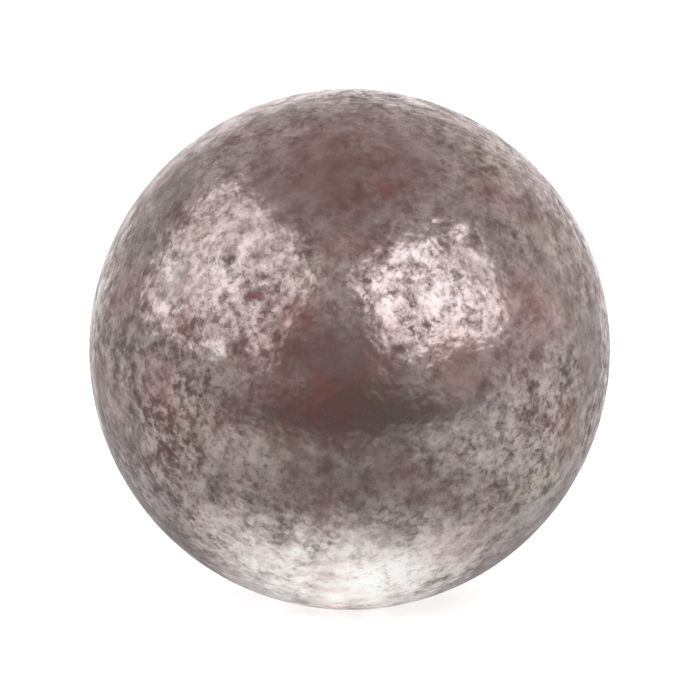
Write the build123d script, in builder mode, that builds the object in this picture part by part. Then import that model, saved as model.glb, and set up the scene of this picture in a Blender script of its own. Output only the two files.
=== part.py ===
from build123d import *
import os

# A solid steel ball, 1/2 inch across: cold-headed, ground round and tumbled.
#
# The frame's origin is the centre of the ball, with +Z up. The ball is one piece of metal
# with no hole, flat, seam or joint, so every line through its centre is an axis of symmetry.

# Driving dimension, in millimetres
ball_diameter = 12.7

ball_radius = ball_diameter / 2

# A half disc, turned once about its straight side, as the ball turns between the grinding plates
with BuildPart() as steel_ball:
    with BuildSketch(Plane.XZ):
        with BuildLine():
            meridian = CenterArc((0, 0), ball_radius, -90, 180)
            Line(meridian @ 1, meridian @ 0)
        make_face()
    revolve(axis=Axis.Z)

steel_ball.part.label = "steel_ball"

os.makedirs("parts", exist_ok=True)
export_step(steel_ball.part, "parts/steel_ball.step")
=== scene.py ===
import math

import bpy
import numpy as np
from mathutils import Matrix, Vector


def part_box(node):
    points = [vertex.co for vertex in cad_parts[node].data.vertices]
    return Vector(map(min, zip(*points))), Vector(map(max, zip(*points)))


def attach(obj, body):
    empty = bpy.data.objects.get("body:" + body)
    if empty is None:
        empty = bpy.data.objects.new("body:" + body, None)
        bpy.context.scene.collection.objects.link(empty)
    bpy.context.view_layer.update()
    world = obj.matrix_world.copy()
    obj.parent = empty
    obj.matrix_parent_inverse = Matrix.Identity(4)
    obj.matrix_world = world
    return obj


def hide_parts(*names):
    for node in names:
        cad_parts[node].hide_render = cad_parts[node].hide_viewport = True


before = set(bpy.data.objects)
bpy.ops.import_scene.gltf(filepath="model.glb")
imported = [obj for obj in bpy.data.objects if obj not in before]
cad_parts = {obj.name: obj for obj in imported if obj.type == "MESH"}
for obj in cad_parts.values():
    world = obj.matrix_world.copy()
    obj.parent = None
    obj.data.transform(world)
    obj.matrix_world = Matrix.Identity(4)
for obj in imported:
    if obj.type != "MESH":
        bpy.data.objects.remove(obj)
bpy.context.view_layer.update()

# Looks of a tumbled steel ball: one skin with real dents and pits, and one tarnished finish, in
# which a few marks are painted highlights, painted shade and a painted reflection.
# Lengths are in metres unless a name or a comment gives another unit, and angles in degrees.
# Azimuth 0 points along -Y, towards the camera, and azimuth 90 along +X, to its right.

MILLIMETRE = 0.001
MICROMETRE = 0.000001

# Sizes from the frame
NODE_LOW, NODE_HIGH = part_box("steel_ball")
BALL_RADIUS = (NODE_HIGH.z - NODE_LOW.z) / 2
FLOOR_HEIGHT = NODE_LOW.z

# The photograph is a square, and the ball in it is a circle
PHOTO_SIDE_PX = 700
PHOTO_BALL_X_PX = 349.6
PHOTO_BALL_Y_PX = 349.4
PHOTO_BALL_RADIUS_PX = 260.6

# The camera
CAMERA_ELEVATION = 12
CAMERA_DISTANCE = 0.175
CAMERA_NEAREST = 0.01
CAMERA_FARTHEST = 10
SENSOR_WIDTH_MM = 36


# Directions

def direction(azimuth, elevation):
    """The unit vector at an azimuth from -Y towards +X and an elevation above the horizon."""
    a, e = np.broadcast_arrays(np.radians(azimuth), np.radians(elevation))
    return np.stack([np.sin(a) * np.cos(e), -np.cos(a) * np.cos(e), np.sin(e)], axis=-1)


def unit(vectors):
    """The vectors, each divided by its own length."""
    return vectors / np.linalg.norm(vectors, axis=-1, keepdims=True)


def scattered(rng, count):
    """Unit directions spread evenly at random over the sphere."""
    return unit(rng.normal(size=(count, 3)))


def squared_distance(directions, centres):
    """The squared straight distance from each point of the ball to each centre on it.

    It is twice the radius squared, times one less the cosine of the angle between the two.
    """
    return (2 - 2 * directions @ centres.T) * BALL_RADIUS**2


def waves(directions, rng, count, shortest_mm, longest_mm):
    """Gentle random unevenness, about -1 to 1: a sum of plane sine waves through the ball.

    Each wave has its own heading, its own phase and a length between the two given. The sum is
    divided by the square root of half the count.
    """
    heading = scattered(rng, count)
    length = rng.uniform(shortest_mm, longest_mm, count) * MILLIMETRE
    phase = rng.uniform(0, 2 * np.pi, count)
    angle = directions @ heading.T * (2 * np.pi * BALL_RADIUS / length) + phase
    return np.sin(angle).sum(axis=1) / math.sqrt(count / 2)


TOWARDS_CAMERA = direction(0, CAMERA_ELEVATION)


# Mesh tools

def new_mesh(name, points, quads, smooth=True):
    """A mesh object in the scene, at the origin, from arrays of points and of four-cornered faces."""
    mesh = bpy.data.meshes.new(name)
    mesh.vertices.add(len(points))
    mesh.vertices.foreach_set("co", np.asarray(points, np.float32).ravel())
    mesh.loops.add(quads.size)
    mesh.loops.foreach_set("vertex_index", quads.astype(np.int32).ravel())
    mesh.polygons.add(len(quads))
    mesh.polygons.foreach_set("loop_start", np.arange(0, quads.size, 4, dtype=np.int32))
    mesh.polygons.foreach_set("use_smooth", np.full(len(quads), smooth))
    mesh.update(calc_edges=True)
    mesh.validate()
    made = bpy.data.objects.new(name, mesh)
    bpy.context.scene.collection.objects.link(made)
    return made


def grid_quads(rows, columns):
    """The faces of a grid of rows by columns points, numbered row by row, turned anticlockwise."""
    corner = (np.arange(rows - 1)[:, None] * columns + np.arange(columns - 1)).ravel()
    return np.stack([corner, corner + 1, corner + columns + 1, corner + columns], axis=1)


def put_attribute(made, name, values):
    """Stores one number a vertex on the mesh, for the material to read."""
    attribute = made.data.attributes.new(name, "FLOAT", "POINT")
    attribute.data.foreach_set("value", values.astype(np.float32))


# The ball's skin

SKIN_SEED = 12
FACE_CELLS = 128            # faces along one side of each of the six squares
MERGE_DECIMALS = 7          # corners of two squares that agree to this many decimals are one

# Each square faces along the first of its three vectors, and its grid runs along the other two
SQUARES = (
    ((1, 0, 0), (0, 1, 0), (0, 0, 1)),
    ((-1, 0, 0), (0, -1, 0), (0, 0, 1)),
    ((0, 1, 0), (-1, 0, 0), (0, 0, 1)),
    ((0, -1, 0), (1, 0, 0), (0, 0, 1)),
    ((0, 0, 1), (1, 0, 0), (0, 1, 0)),
    ((0, 0, -1), (1, 0, 0), (0, -1, 0)),
)

# The flat map has one cell a square, with a margin round each
MAP_COLUMNS = 3
MAP_ROWS = 2
MAP_MARGIN = 0.004

# Dents from other balls, and pits from tarnish: how many, their radii and their depths
DENT_COUNT = 70
DENT_RADII_MM = (0.5, 1.4)
DENT_DEPTHS_UM = (1.5, 5.0)
PIT_COUNT = 2600
PIT_RADII_MM = (0.14, 0.42)
PIT_DEPTHS_UM = (1.5, 6.0)

# The unevenness between them: its height, and its waves, as how many there are and their
# shortest and longest lengths in millimetres
UNEVENNESS_UM = 0.5
UNEVENNESS_WAVES = (48, 0.45, 1.6)


def cube_sphere(cells):
    """Unit directions, faces and a flat map of a sphere made from six square grids.

    A point of a square is its facing vector plus tan(pi u / 4) and tan(pi v / 4) along its two
    sides, with u and v from -1 to 1, drawn back to length 1. The tangents keep the cells nearly
    equal. Points that two squares share are merged, and each square fills a cell of the map.
    """
    step = np.linspace(-1, 1, cells + 1)
    across, up = np.meshgrid(step, step)
    width = 1 / MAP_COLUMNS
    height = 1 / MAP_ROWS
    points = []
    corners = []
    for number, (facing, side, rise) in enumerate(SQUARES):
        square = (
            np.array(facing)
            + np.tan(np.pi / 4 * across)[..., None] * np.array(side)
            + np.tan(np.pi / 4 * up)[..., None] * np.array(rise)
        )
        points.append(unit(square.reshape(-1, 3)))
        left = (number % MAP_COLUMNS) * width + MAP_MARGIN
        bottom = (number // MAP_COLUMNS) * height + MAP_MARGIN
        map_x = left + (across + 1) / 2 * (width - 2 * MAP_MARGIN)
        map_y = bottom + (up + 1) / 2 * (height - 2 * MAP_MARGIN)
        corners.append(np.stack([map_x, map_y], axis=-1).reshape(-1, 2))
    every = np.concatenate(points)
    one_square = grid_quads(cells + 1, cells + 1)
    quads = np.concatenate([one_square + k * (cells + 1) ** 2 for k in range(len(SQUARES))])
    flat_map = np.concatenate(corners)[quads.ravel()]
    rounded = every.round(MERGE_DECIMALS)
    _, first, merged = np.unique(rounded, axis=0, return_index=True, return_inverse=True)
    return every[first], merged.ravel()[quads], flat_map


def dents(directions, rng, count, radii_mm, depths_um, block=64):
    """The depth of many shallow round dents, in metres.

    Inside its radius a dent is its depth times (1 - (distance / radius)^2)^2, so it meets the
    ball with no edge. Dents that overlap add up, and small ones are commoner than large ones.
    They are added a block at a time, which keeps the arrays small.
    """
    centres = scattered(rng, count)
    smallest, largest = radii_mm
    radii = (smallest + (largest - smallest) * rng.uniform(0, 1, count) ** 2) * MILLIMETRE
    depths = rng.uniform(*depths_um, count) * MICROMETRE
    total = np.zeros(len(directions))
    for start in range(0, count, block):
        part = slice(start, start + block)
        inside = np.clip(1 - squared_distance(directions, centres[part]) / radii[part] ** 2, 0, None)
        total += (inside**2 * depths[part]).sum(axis=1)
    return total


def build_ball(rng):
    """The ball's skin: a sphere pressed in by broad dents and fine pits, never raised above it.

    A point lies inside the ball's radius by the depth of the dents, plus that of the pits, plus
    the unevenness, which is shifted so that its least is 0.
    """
    directions, quads, flat_map = cube_sphere(FACE_CELLS)
    depth = dents(directions, rng, DENT_COUNT, DENT_RADII_MM, DENT_DEPTHS_UM)
    depth += dents(directions, rng, PIT_COUNT, PIT_RADII_MM, PIT_DEPTHS_UM)
    unevenness = waves(directions, rng, *UNEVENNESS_WAVES) * UNEVENNESS_UM * MICROMETRE
    depth += unevenness - unevenness.min()
    skin = directions * (BALL_RADIUS - depth)[:, None]
    ball = new_mesh("ball_skin", skin, quads)
    layer = ball.data.uv_layers.new(name="OFBake")
    layer.data.foreach_set("uv", flat_map.astype(np.float32).ravel())
    return ball, directions


# The blotches, among them a few painted highlights, painted shade and a painted reflection

# On the side that the photograph shows, each mark is the x and y of its centre and its radius,
# in the photograph's pixels, and its strength
RUST_STAINS = (
    (300, 375, 95, 0.6),
    (345, 160, 110, 0.6),
    (322, 392, 34, 1.0),
    (372, 366, 22, 0.9),
    (390, 190, 28, 0.95),
    (525, 306, 36, 0.95),
    (302, 318, 26, 1.0),
    (455, 362, 36, 0.8),
    (258, 300, 14, 0.85),
    (190, 332, 16, 0.8),
    (562, 420, 24, 0.7),
    (348, 245, 30, 0.75),
    (122, 300, 26, 0.6),
    (490, 190, 34, 0.7),
    (180, 410, 26, 0.6),
    (165, 388, 38, 0.7),
    (118, 400, 36, 0.45),
    (225, 418, 24, 0.6),
)
OLIVE_TINTS = (
    (196, 432, 38, 0.6),
    (205, 385, 24, 0.4),
    (545, 235, 36, 0.8),
    (480, 150, 50, 0.7),
    (565, 300, 24, 0.7),
    (430, 418, 34, 0.6),
    (275, 440, 34, 0.6),
    (378, 398, 20, 0.7),
    (570, 420, 34, 0.9),
    (535, 475, 36, 0.8),
    (110, 270, 30, 0.8),
    (160, 200, 30, 0.6),
    (465, 205, 22, 0.5),
)

# Steel is rubbed bare in some places, and lies under more film in others. A few of the bare marks
# are painted highlights in the softboxes' reflections and a painted reflection of the bright floor
# under the ball, and a few of the film marks are painted shade at the tops of the softboxes'
# reflections.
WORN_AND_PAINTED_HIGHLIGHT_PATCHES = (
    # Painted highlight: these two carry the left softbox's reflection on below the lamp's lower edge.
    (233, 379, 17, 0.45),
    (222, 352, 18, 0.3),
    (352, 342, 30, 0.12),
    (384, 309, 14, 0.35),
    (410, 266, 12, 0.25),
    (464, 236, 11, 0.25),
    (224, 250, 11, 0.2),
    # Partly bare steel, partly a painted highlight: brightens the lower middle of the right softbox's
    # reflection.
    (440, 318, 34, 0.3),
    (520, 520, 40, 0.2),
    (520, 178, 45, 0.15),
    (212, 282, 30, 0.2),
    (497, 300, 10, 0.3),
    (258, 452, 32, 0.25),
    (215, 522, 46, 0.24),
    # Partly bare steel, partly a painted reflection: these two brighten the bright floor's reflection
    # in the rim under the ball.
    (285, 566, 62, 0.38),
    (372, 578, 70, 0.55),
    (478, 402, 26, 0.2),
    (455, 435, 40, 0.18),
    (535, 470, 44, 0.15),
    (268, 205, 18, 0.15),
)
FILMY_AND_PAINTED_SHADE_PATCHES = (
    (330, 385, 56, 0.22),
    (257, 300, 13, 0.5),
    (192, 333, 12, 0.45),
    (246, 346, 14, 0.45),
    (272, 332, 18, 0.35),
    (386, 352, 15, 0.35),
    (415, 322, 16, 0.18),
    (152, 405, 28, 0.2),
    (185, 455, 20, 0.25),
    (330, 165, 60, 0.1),
    (395, 520, 24, 0.15),
    (476, 377, 7, 0.5),
    (356, 195, 10, 0.45),
    (290, 533, 12, 0.35),
    # Painted shade: dims the top left corner of the left softbox's reflection.
    (176, 188, 30, 0.12),
    # Painted shade: dims the upper right of the right softbox's reflection.
    (478, 245, 28, 0.12),
    (585, 290, 45, 0.15),
)

# Flecks stand out in some places, and run together in others
COARSE_PATCHES = (
    (200, 388, 48, 0.9),
    (172, 435, 56, 0.9),
    (245, 395, 24, 0.5),
    (240, 320, 50, 0.3),
    (120, 370, 40, 0.3),
    (545, 425, 60, 0.5),
    (400, 290, 60, 0.3),
    (520, 150, 50, 0.4),
)
CALM_PATCHES = (
    (165, 140, 80, 0.7),
    (345, 180, 70, 0.5),
    (350, 400, 80, 0.4),
    (545, 285, 50, 0.6),
    (590, 330, 40, 0.6),
    (110, 240, 50, 0.5),
    (100, 380, 45, 0.7),
    (590, 450, 45, 0.6),
    (330, 600, 100, 0.5),
    (160, 530, 70, 0.6),
    (530, 545, 70, 0.5),
    (455, 385, 40, 0.4),
)

# On the side that it doesn't show: how many marks, their radii in millimetres, their strengths
HIDDEN_STAINS = (16, (0.3, 1.1), (0.4, 0.85))
HIDDEN_OLIVE = (12, (0.4, 0.9), (0.4, 0.6))
HIDDEN_WORN = (16, (0.35, 1.6), (0.15, 0.35))
HIDDEN_FILMY = (22, (0.3, 1.3), (0.15, 0.5))
HIDDEN_COARSE = (14, (0.6, 1.5), (0.3, 0.8))
HIDDEN_CALM = (16, (0.8, 2.0), (0.3, 0.6))
HIDDEN_BEHIND = 0.1         # how far past the edge of the photographed side, in ball radii

# Waves that carry the marks about, and that vary the finish between them: how many, and their
# shortest and longest lengths in millimetres
DRIFT_WAVES = (40, 0.4, 1.5)
BROAD_WAVES = (60, 1.2, 4.5)
NARROW_WAVES = (60, 0.45, 1.2)
TINT_WAVES = (40, 0.8, 3.5)
DRIFT_MM = 0.11             # how far the first of them carry the marks

# The finish where no mark lies, and how much the waves change it
PLAIN_WEAR = 0.6
BROAD_WEAR = 0.04
NARROW_WEAR = 0.08
PLAIN_RUST = 0.12
WAVY_RUST = 0.12
WAVY_OLIVE = 0.1
PLAIN_UNREST = 0.5
WAVY_UNREST = 0.15
MOST_UNREST = 1.5


def photo_direction(x_px, y_px):
    """The direction from the ball's centre to the point seen at a pixel of the photograph.

    With x to the right and y up from the middle of the ball's circle, in circle radii, the part
    of the direction that points at the camera is sqrt(1 - x^2 - y^2).
    """
    x = (x_px - PHOTO_BALL_X_PX) / PHOTO_BALL_RADIUS_PX
    y = (PHOTO_BALL_Y_PX - y_px) / PHOTO_BALL_RADIUS_PX
    toward = np.sqrt(np.clip(1 - x * x - y * y, 0, None))
    right = direction(90, 0)
    up = direction(180, 90 - CAMERA_ELEVATION)
    return (
        np.multiply.outer(x, right)
        + np.multiply.outer(y, up)
        + np.multiply.outer(toward, TOWARDS_CAMERA)
    )


def marked(directions, rng, shown, hidden):
    """How strongly marks of one kind show at each point, with random marks on the hidden side.

    A mark's strength is multiplied by exp(-(distance / radius)^2), and the strongest one counts.
    The random centres are first pushed straight away from the camera, so that each one lies past
    the edge of the photographed side.
    """
    x_px, y_px, radii_px, strengths = np.array(shown).T
    count, hidden_radii_mm, hidden_strengths = hidden
    behind = scattered(rng, count)
    push = np.maximum(behind @ TOWARDS_CAMERA, 0) + HIDDEN_BEHIND
    behind = unit(behind - np.multiply.outer(push, TOWARDS_CAMERA))
    radii = radii_px / PHOTO_BALL_RADIUS_PX * BALL_RADIUS
    centres = np.concatenate([photo_direction(x_px, y_px), behind])
    radii = np.concatenate([radii, rng.uniform(*hidden_radii_mm, count) * MILLIMETRE])
    strengths = np.concatenate([strengths, rng.uniform(*hidden_strengths, count)])
    return (strengths * np.exp(-squared_distance(directions, centres) / radii**2)).max(axis=1)


def wandering(directions, rng):
    """The directions moved about by short waves, which gives the marks ragged outlines.

    Each of the three parts of a direction has waves of its own added, times the drift over the
    ball's radius, and the sum is drawn back to length 1.
    """
    moves = [waves(directions, rng, *DRIFT_WAVES) for _ in range(3)]
    return unit(directions + np.stack(moves, axis=1) * DRIFT_MM * MILLIMETRE / BALL_RADIUS)


def paint_blotches(ball, directions, rng):
    """Stores how bare the steel is, painted light included, and how rusted, olive and restless the
    finish is, as four numbers a vertex.

    The first is the plain value plus broad and narrow waves, plus the bare-steel marks, less the
    film marks, and some of these marks are painted highlights, a painted reflection and painted
    shade. Rust is the larger of a wavy plain rust and the stains, and olive is waves plus the tints.
    Unrest is the plain unrest plus waves, plus the coarse marks, less the calm ones. All but the
    first are cut off at 0 and at their most.
    """
    ragged = wandering(directions, rng)
    # The bare-steel marks hold painted highlights and a painted reflection, and the film marks painted
    # shade.
    worn_and_painted_highlight = marked(ragged, rng, WORN_AND_PAINTED_HIGHLIGHT_PATCHES, HIDDEN_WORN)
    filmy_and_painted_shade = marked(ragged, rng, FILMY_AND_PAINTED_SHADE_PATCHES, HIDDEN_FILMY)
    stained = marked(ragged, rng, RUST_STAINS, HIDDEN_STAINS)
    tinted = marked(ragged, rng, OLIVE_TINTS, HIDDEN_OLIVE)
    wear_and_painted_light = PLAIN_WEAR + BROAD_WEAR * waves(directions, rng, *BROAD_WAVES)
    wear_and_painted_light += NARROW_WEAR * waves(directions, rng, *NARROW_WAVES)
    put_attribute(ball, "wear_and_painted_light", wear_and_painted_light + worn_and_painted_highlight - filmy_and_painted_shade)
    redness = PLAIN_RUST + WAVY_RUST * waves(directions, rng, *TINT_WAVES)
    put_attribute(ball, "rust", np.clip(np.maximum(redness, stained), 0, 1))
    olive = WAVY_OLIVE * waves(directions, rng, *TINT_WAVES) + tinted
    put_attribute(ball, "olive", np.clip(olive, 0, 1))
    coarse = marked(ragged, rng, COARSE_PATCHES, HIDDEN_COARSE)
    calm = marked(ragged, rng, CALM_PATCHES, HIDDEN_CALM)
    unrest = PLAIN_UNREST + WAVY_UNREST * waves(directions, rng, *TINT_WAVES) + coarse - calm
    put_attribute(ball, "unrest", np.clip(unrest, 0, MOST_UNREST))


# Shader tools

class Value:
    """A shader socket that carries a number. An expression on values adds its Math nodes."""

    def __init__(self, shader, socket):
        self.shader = shader
        self.socket = socket

    def math(self, operation, *others):
        """A Math node on this number and the others, in that order."""
        terms = dict(enumerate((self, *others)))
        return self.shader.node("ShaderNodeMath", {"operation": operation}, terms)

    def __add__(self, other):
        return self.math("ADD", other)

    __radd__ = __add__

    def __mul__(self, other):
        return self.math("MULTIPLY", other)

    __rmul__ = __mul__

    def __sub__(self, other):
        return self.math("SUBTRACT", other)

    def __rsub__(self, other):
        return self.math("MULTIPLY_ADD", -1, other)

    def __truediv__(self, other):
        return self.math("DIVIDE", other)

    def __pow__(self, other):
        return self.math("POWER", other)

    def __abs__(self):
        return self.math("ABSOLUTE")

    def most(self, other):
        """The larger of the two."""
        return self.math("MAXIMUM", other)

    def least(self, other):
        """The smaller of the two."""
        return self.math("MINIMUM", other)

    def between(self, low, high):
        """0 at low and 1 at high, with a smooth rise between them, also where low is the larger."""
        return self.shader.node(
            "ShaderNodeMapRange",
            {"interpolation_type": "SMOOTHSTEP"},
            {"Value": self, "From Min": low, "From Max": high},
        )

    def towards(self, other, share):
        """This number where the share is 0, and the other where it is 1."""
        return self + (other - self) * share


class Shader:
    """A node tree under construction."""

    def __init__(self, tree):
        self.tree = tree
        tree.nodes.clear()

    def node(self, kind, settings=None, inputs=None, output=0):
        """Adds a node, with its settings first, and gives back one of its outputs.

        The inputs are numbers, tuples or values, by the name or the number of their socket.
        """
        made = self.tree.nodes.new(kind)
        for name, setting in (settings or {}).items():
            setattr(made, name, setting)
        for name, given in (inputs or {}).items():
            if isinstance(given, Value):
                self.tree.links.new(given.socket, made.inputs[name])
            else:
                made.inputs[name].default_value = given
        return Value(self, made.outputs[output]) if made.outputs else made

    def attribute(self, name):
        """One of the numbers that the mesh holds a vertex."""
        return self.node("ShaderNodeAttribute", {"attribute_name": name}, output=2)

    def scaled(self, vector, factor):
        """A vector or a colour, times a number."""
        return self.node("ShaderNodeVectorMath", {"operation": "SCALE"}, {0: vector, "Scale": factor})

    def place(self, length):
        """Where a point is on the object, measured in the given length."""
        return self.scaled(self.node("ShaderNodeTexCoord", output=3), 1 / length)

    def axes(self, place):
        """The three parts of a place, as values."""
        return [self.node("ShaderNodeSeparateXYZ", inputs={0: place}, output=k) for k in range(3)]

    def noise(self, place, size, detail, roughness, shift):
        """Cloudy noise about 0.5, with features of about the given size."""
        moved = self.node("ShaderNodeVectorMath", {"operation": "ADD"}, {0: place, 1: (shift,) * 3})
        return self.node(
            "ShaderNodeTexNoise",
            inputs={"Vector": moved, "Scale": 1 / size, "Detail": detail, "Roughness": roughness},
        )

    def cells(self, place, size):
        """A random number about 0.5 for each angular cell of about the given size."""
        return self.node("ShaderNodeTexVoronoi", inputs={"Vector": place, "Scale": 1 / size}, output=1)

    def mix(self, first, second, share):
        """A colour that goes from the first to the second as the share goes from 0 to 1."""
        return self.node(
            "ShaderNodeMix",
            {"data_type": "RGBA"},
            {"Factor": share, 6: paint(first), 7: paint(second)},
            output=2,
        )

    def looked_at(self):
        """1 where the surface is seen, straight or in metal or glass, and 0 where it only lights."""
        seen = self.node("ShaderNodeLightPath", output="Is Camera Ray")
        for other in ("Is Glossy Ray", "Is Transmission Ray"):
            seen = seen.most(self.node("ShaderNodeLightPath", output=other))
        return seen

    def finish(self, surface, kind="ShaderNodeOutputMaterial"):
        """Sends the surface to the tree's output."""
        self.node(kind, inputs={"Surface": surface})


def paint(colour):
    """A plain colour with its alpha, or a colour socket as it is."""
    return (*colour, 1.0) if isinstance(colour, tuple) else colour


def new_material(name):
    """An empty material, and its shader under construction."""
    material = bpy.data.materials.new(name)
    material.use_nodes = True
    return material, Shader(material.node_tree)


# The tarnished steel

STEEL = (0.77, 0.663, 0.655)
OLIVE_STEEL = (0.74, 0.67, 0.57)
RUSTED_STEEL = (0.74, 0.53, 0.5)
# The next colour is partly steel rubbed clean, partly a painted reflection: the neutral tone of the
# bright floor mirrored under the ball.
CLEAN_STEEL_AND_FLOOR_REFLECTION = (0.775, 0.735, 0.722)
FILM = (0.115, 0.069, 0.066)
OLIVE_FILM = (0.125, 0.085, 0.052)
RUST = (0.22, 0.075, 0.062)
CLEAN_STEEL_AND_REFLECTION_RANGE = (0.85, 1.15)   # the bareness, painted light included, at which steel starts to lose its mauve and has lost it; partly steel rubbed clean, partly a painted reflection of the bright floor under the ball

FILM_ROUGHNESS = 0.45
STEEL_ROUGHNESS = 0.2
STEEL_POLISH = 0.05         # how much smoother steel is where no film is left on it
SKIN_RELIEF_MM = 0.010

# What the speckle is made of: sizes in millimetres, and weights beside the patches' own
PATCH_MM = 0.34
GRAIN_MM = 0.14
GRAIN_WEIGHT = 0.95
FLECK_MM = 0.17
FLECK_WEIGHT = 0.36
CREVICE_MM = 0.22
CREVICE_WEIGHT = 0.2
CREVICE_WIDTH = 0.07        # how far from half way the winding noise may be in a crevice
CREVICE_BREAKS = (0.64, 0.42)   # the grain that breaks a crevice off, and that leaves it whole

# How the speckle, the rust and the wear make the share of bare steel
LEAST_SPECKLE = 0.5
RUST_CALMS = 0.25
STAIN_RAGGEDNESS = 0.8
STAIN_EDGE = (0.4, 1.1)
STAIN_COVERS = 0.12
SHARE_ENDS = (-0.25, 1.2)
SHARE_POWER = 1.5
LEAST_STEEL = 0.02
MOST_STEEL = 0.98


def bare_share(shader, wear_and_painted_light, rust, patch, winding):
    """How much of the steel shows through the film, from 0 to 1.

    It is the bareness at that place, painted highlights and painted shade included, plus a
    speckle, less the stain. The speckle adds up the patches, a fine grain and angular flecks, less
    crevices that the grain breaks off, and it is stronger where the finish is restless and weaker
    in rust. A crevice runs where the winding noise is half way between its extremes, and a stain is
    rust with its edge roughened by the patches. The sum is drawn in softly at both ends, then
    raised to a power, so that bright flecks stand on a browner ground.
    """
    place = shader.place(MILLIMETRE)
    grain = shader.noise(place, GRAIN_MM, detail=3, roughness=0.6, shift=7.7)
    fleck = shader.cells(place, FLECK_MM)
    crevice = 1 - abs(winding - 0.5).between(0, CREVICE_WIDTH)
    crevice = crevice * grain.between(*CREVICE_BREAKS)
    speckle = (patch - 0.5) + (grain - 0.5) * GRAIN_WEIGHT + (fleck - 0.5) * FLECK_WEIGHT
    speckle = speckle - crevice * CREVICE_WEIGHT
    speckle = speckle * (LEAST_SPECKLE + shader.attribute("unrest") - RUST_CALMS * rust)
    stain = (rust + (patch - 0.5) * STAIN_RAGGEDNESS).between(*STAIN_EDGE)
    share = (wear_and_painted_light + speckle - stain * STAIN_COVERS).between(*SHARE_ENDS) ** SHARE_POWER
    return share * (MOST_STEEL - LEAST_STEEL) + LEAST_STEEL


def tarnished_steel():
    """Worn steel that shows through a thin brown-mauve film, as a mix of the two.

    Rust and olive tint the steel and the film alike, and steel that is rubbed clean loses its
    mauve, which also paints in the neutral reflection of the bright floor under the ball. Both share
    one relief, which follows the patches and the crevices.
    """
    material, shader = new_material("tarnished_steel")
    place = shader.place(MILLIMETRE)
    patch = shader.noise(place, PATCH_MM, detail=1, roughness=0.6, shift=3.1)
    winding = shader.noise(place, CREVICE_MM, detail=1, roughness=0.5, shift=12.3)
    wear_and_painted_light = shader.attribute("wear_and_painted_light")
    rust = shader.attribute("rust")
    olive = shader.attribute("olive")
    share = bare_share(shader, wear_and_painted_light, rust, patch, winding)

    steel_colour = shader.mix(shader.mix(STEEL, OLIVE_STEEL, olive), RUSTED_STEEL, rust)
    # Painted reflection, in part: where bare steel and painted light are strongest, as in the rim
    # under the ball, the steel goes neutral.
    steel_colour = shader.mix(steel_colour, CLEAN_STEEL_AND_FLOOR_REFLECTION, wear_and_painted_light.between(*CLEAN_STEEL_AND_REFLECTION_RANGE))
    film_colour = shader.mix(shader.mix(FILM, OLIVE_FILM, olive), RUST, rust)
    relief = shader.node(
        "ShaderNodeBump",
        inputs={"Height": patch + winding, "Distance": SKIN_RELIEF_MM * MILLIMETRE},
    )

    def layer(colour, metallic, roughness):
        """The film or the steel, as a surface of its own with the shared relief."""
        return shader.node(
            "ShaderNodeBsdfPrincipled",
            inputs={
                "Base Color": colour,
                "Metallic": metallic,
                "Roughness": roughness,
                "Normal": relief,
            },
        )

    film = layer(film_colour, 0.0, FILM_ROUGHNESS)
    steel = layer(steel_colour, 1.0, STEEL_ROUGHNESS - STEEL_POLISH * share)
    shader.finish(shader.node("ShaderNodeMixShader", inputs={0: share, 1: film, 2: steel}))
    return material


# The floor

FLOOR_SIDE = 3.0
FLOOR_COLOUR = (0.86, 0.86, 0.86)
FLOOR_GLOW = 0.75           # the part of the floor's white that no shadow takes away


def build_floor():
    """A pale floor that renders white, and keeps a soft part of the ball's shadow.

    Its light is what it scatters, plus a glow that is there only where the floor is looked at.
    """
    half = FLOOR_SIDE / 2
    corners = np.array(((-half, -half), (half, -half), (half, half), (-half, half)))
    points = np.column_stack([corners, np.full(4, FLOOR_HEIGHT)])
    floor = new_mesh("floor", points, np.array([[0, 1, 2, 3]]), smooth=False)
    material, shader = new_material("white_floor")
    lit = shader.node("ShaderNodeBsdfDiffuse", inputs={"Color": paint(FLOOR_COLOUR)})
    glow = shader.node("ShaderNodeEmission", inputs={"Strength": shader.looked_at() * FLOOR_GLOW})
    shader.finish(shader.node("ShaderNodeAddShader", inputs={0: lit, 1: glow}))
    floor.data.materials.append(material)


# What the ball reflects: a graded card on the floor, and a grey dome

def only_in_reflections(made, material, shader, colour, tone):
    """Makes a stage object glow with a colour times a tone, light nothing and block no view."""
    glow = shader.scaled(colour, tone)
    shader.finish(shader.node("ShaderNodeEmission", inputs={"Color": glow}))
    made.data.materials.append(material)
    made.visible_camera = False
    made.visible_diffuse = False
    made.visible_shadow = False
    made.visible_transmission = False


CARD_INNER = 0.3 * BALL_RADIUS
CARD_OUTER = 1.4
CARD_HEIGHT = FLOOR_HEIGHT + 0.1 * MILLIMETRE
CARD_SPOKES = 97
CARD_RINGS = 25
CARD_COLOUR = (0.99, 0.985, 0.985)
CARD_WHITE_COLOUR = (0.945, 1, 0.99)

# The card's tones. Its x runs to the right and its y away from the camera, in ball radii, and a
# pair says where one tone starts to give way to the next, and where it has
CARD_LEFT = 0.55
CARD_RIGHT = 0.64
LEFT_TO_RIGHT_X = (-1.5, 1.5)
CARD_FRONT = 0.34
SIDE_TO_FRONT_X = (1.8, 0)
CARD_WHITE = 1.35
TO_WHITE_BEHIND = (0.7, 1.05)   # y, as a share of the distance from the middle
CARD_EDGE = 0.11
FRONT_TO_EDGE_Y = (-2.1, -3.2)
EDGE_FADES_X = (1.5, 6)
EDGE_FADES_BY = 0.7         # the share of the front edge's tone that is gone far to the sides

# The white patch under the ball, in ball radii: its centre, how it is squeezed, and its reach
UNDER_X = -0.07
UNDER_Y = -0.55
UNDER_SQUEEZE_X_SQUARED = 1.2
UNDER_SQUEEZE_FRONT = 1.7
UNDER_SQUEEZE_BACK = 1.6
UNDER_REACH = (0.05, 1.38)


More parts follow.
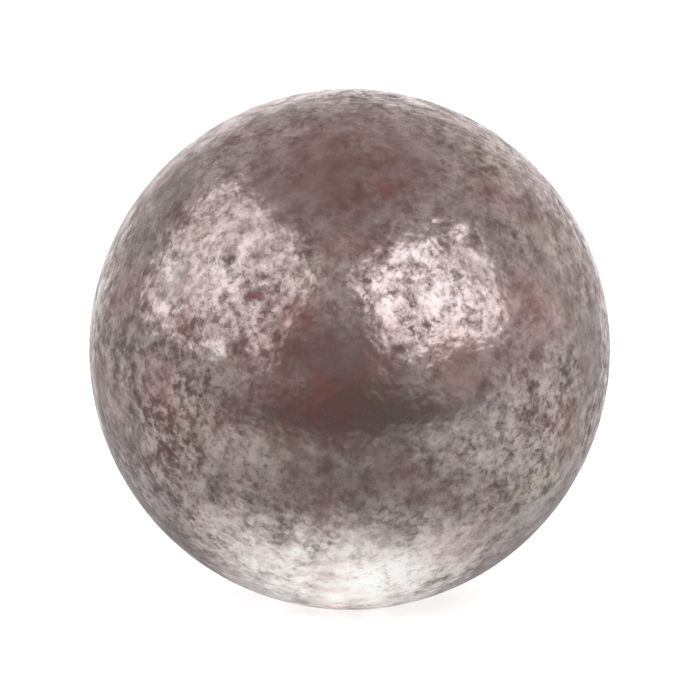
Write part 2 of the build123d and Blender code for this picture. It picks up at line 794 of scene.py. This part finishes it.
def build_card():
    """A flat ring round the ball, with its tone graded by where it lies.

    A point of the ring is at an azimuth all the way round, and at a distance that grows by
    equal ratios from the inner edge to the outer one. The tone is grey at the sides, darker in
    front, nearly black past the front edge, and white far behind and under the ball's front.
    How far a point is from the middle of that last patch is the square root of the sum of its
    squeezed x and y, each squared.
    """
    azimuth = np.linspace(-180, 180, CARD_SPOKES)
    distance = np.geomspace(CARD_INNER, CARD_OUTER, CARD_RINGS)
    points = direction(azimuth, 0)[:, None, :] * distance[:, None]
    points[..., 2] = CARD_HEIGHT
    quads = grid_quads(CARD_SPOKES, CARD_RINGS)
    card = new_mesh("graded_card", points.reshape(-1, 3), quads, smooth=False)
    material, shader = new_material("graded_card")
    x, y, _ = shader.axes(shader.place(BALL_RADIUS))
    aside = abs(x)
    away = (x * x + y * y) ** 0.5
    tone = CARD_LEFT + (CARD_RIGHT - CARD_LEFT) * x.between(*LEFT_TO_RIGHT_X)
    tone = tone.towards(CARD_FRONT, aside.between(*SIDE_TO_FRONT_X))
    tone = tone.towards(CARD_WHITE, (y / away).between(*TO_WHITE_BEHIND))
    edge = y.between(*FRONT_TO_EDGE_Y) * (1 - EDGE_FADES_BY * aside.between(*EDGE_FADES_X))
    tone = tone.towards(CARD_EDGE, edge)

    across = x - UNDER_X
    along = y - UNDER_Y
    along = along.least(0) * UNDER_SQUEEZE_FRONT + along.most(0) * UNDER_SQUEEZE_BACK
    from_middle = (across * across * UNDER_SQUEEZE_X_SQUARED + along * along) ** 0.5
    under = 1 - from_middle.between(*UNDER_REACH)
    tone = tone.towards(CARD_WHITE, under)
    colour = shader.mix(CARD_COLOUR, CARD_WHITE_COLOUR, under)
    only_in_reflections(card, material, shader, colour, tone)


DOME_RADIUS = 1.0
DOME_COLUMNS = 97
DOME_ROWS = 48
DOME_LOWEST = -1
DOME_COLOUR = (1, 0.965, 0.96)

# The dome's tones. Its x, y and z run to the right, away from the camera and up, in dome radii
DOME_FRONT = 0.2
DOME_SIDES = 0.49
DARKEST_X = -0.1
FRONT_TO_SIDES_X = (0.15, 0.95)
DOME_BACK = 0.8
BACK_LEANS_RIGHT = 0.4
SIDES_TO_BACK_Y = (0, 1)
BACKDROP_WHITE = 1.2
BACK_TO_BACKDROP_Y = (0.8, 1)
DOME_ABOVE = 0.5
TO_ABOVE_Z = (0.15, 0.75)
DOME_TOP = 0.35
ABOVE_TO_TOP_Z = (0.75, 1)


def build_dome():
    """A grey dome over the stage, darkest in front and palest behind, as a dim room is.

    The tone rises from the darkest x to both sides. Then it goes over to the back's, to the
    white backdrop's, to that of the upper part and to the top's, each over its own stretch.
    """
    azimuth = np.linspace(-180, 180, DOME_COLUMNS)
    elevation = np.linspace(DOME_LOWEST, 90, DOME_ROWS)
    points = direction(azimuth[:, None], elevation) * DOME_RADIUS
    quads = grid_quads(DOME_COLUMNS, DOME_ROWS)
    dome = new_mesh("grey_dome", points.reshape(-1, 3), quads, smooth=False)
    material, shader = new_material("grey_dome")
    x, y, z = shader.axes(shader.place(DOME_RADIUS))
    tone = DOME_FRONT + (DOME_SIDES - DOME_FRONT) * abs(x - DARKEST_X).between(*FRONT_TO_SIDES_X)
    tone = tone.towards(DOME_BACK, (y + x * BACK_LEANS_RIGHT).between(*SIDES_TO_BACK_Y))
    tone = tone.towards(BACKDROP_WHITE, y.between(*BACK_TO_BACKDROP_Y))
    tone = tone.towards(DOME_ABOVE, z.between(*TO_ABOVE_Z))
    tone = tone.towards(DOME_TOP, z.between(*ABOVE_TO_TOP_Z))
    only_in_reflections(dome, material, shader, DOME_COLOUR, tone)


# The lights

AMBIENT_LIGHT = 0.35


def build_world():
    """A white surround, with strength 1 where it is looked at, and less where it only lights."""
    world = bpy.data.worlds.new("surround")
    world.use_nodes = True
    bpy.context.scene.world = world
    shader = Shader(world.node_tree)
    strength = AMBIENT_LIGHT + (1 - AMBIENT_LIGHT) * shader.looked_at()
    glow = shader.node("ShaderNodeBackground", inputs={"Color": (1, 1, 1, 1), "Strength": strength})
    shader.finish(glow, "ShaderNodeOutputWorld")


def softbox(name, azimuth, elevation, distance, width, height, roll, radiance):
    """A square-edged lamp that faces the ball. Width and height are shares of its distance.

    Its power is the radiance times pi times its area, as for an evenly glowing sheet.
    """
    light = bpy.data.lights.new(name, "AREA")
    light.shape = "RECTANGLE"
    light.size = width * distance
    light.size_y = height * distance
    light.energy = radiance * math.pi * light.size * light.size_y
    lamp = bpy.data.objects.new(name, light)
    lamp.location = direction(azimuth, elevation) * distance
    lamp.rotation_euler = lamp.location.to_track_quat("Z", "Y").to_euler()
    lamp.rotation_euler.rotate_axis("Z", math.radians(roll))
    lamp.visible_camera = False
    bpy.context.scene.collection.objects.link(lamp)


# The camera

def build_camera():
    """The camera at the photograph's angle, with the ball as large in the frame as it is there.

    Seen from its distance, the ball's outline is a cone whose half angle has the sine radius
    over distance.
    """
    outline = math.tan(math.asin(BALL_RADIUS / CAMERA_DISTANCE))
    half_frame = outline * (PHOTO_SIDE_PX / 2) / PHOTO_BALL_RADIUS_PX
    data = bpy.data.cameras.new("camera")
    data.sensor_width = SENSOR_WIDTH_MM
    data.lens = SENSOR_WIDTH_MM / 2 / half_frame
    data.clip_start = CAMERA_NEAREST
    data.clip_end = CAMERA_FARTHEST
    data.shift_x = (PHOTO_SIDE_PX / 2 - PHOTO_BALL_X_PX) / PHOTO_SIDE_PX
    data.shift_y = (PHOTO_BALL_Y_PX - PHOTO_SIDE_PX / 2) / PHOTO_SIDE_PX
    camera = bpy.data.objects.new("camera", data)
    camera.location = TOWARDS_CAMERA * CAMERA_DISTANCE
    camera.rotation_euler = Vector(-camera.location).to_track_quat("-Z", "Y").to_euler()
    bpy.context.scene.collection.objects.link(camera)
    bpy.context.scene.camera = camera


# The ball and its stage

build_camera()
rng = np.random.default_rng(SKIN_SEED)
ball, directions = build_ball(rng)
paint_blotches(ball, directions, rng)
ball.data.materials.append(tarnished_steel())
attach(ball, "root")
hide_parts("steel_ball")

build_floor()
build_card()
build_dome()
build_world()
softbox(
    "left_softbox",
    azimuth=-69, elevation=32.3, distance=0.12, width=1.56, height=1.0, roll=-3, radiance=0.7,
)
softbox(
    "right_softbox",
    azimuth=43.5, elevation=31.5, distance=0.14, width=1.16, height=0.8, roll=4, radiance=0.95,
)
bpy.context.scene.view_settings.view_transform = "Standard"
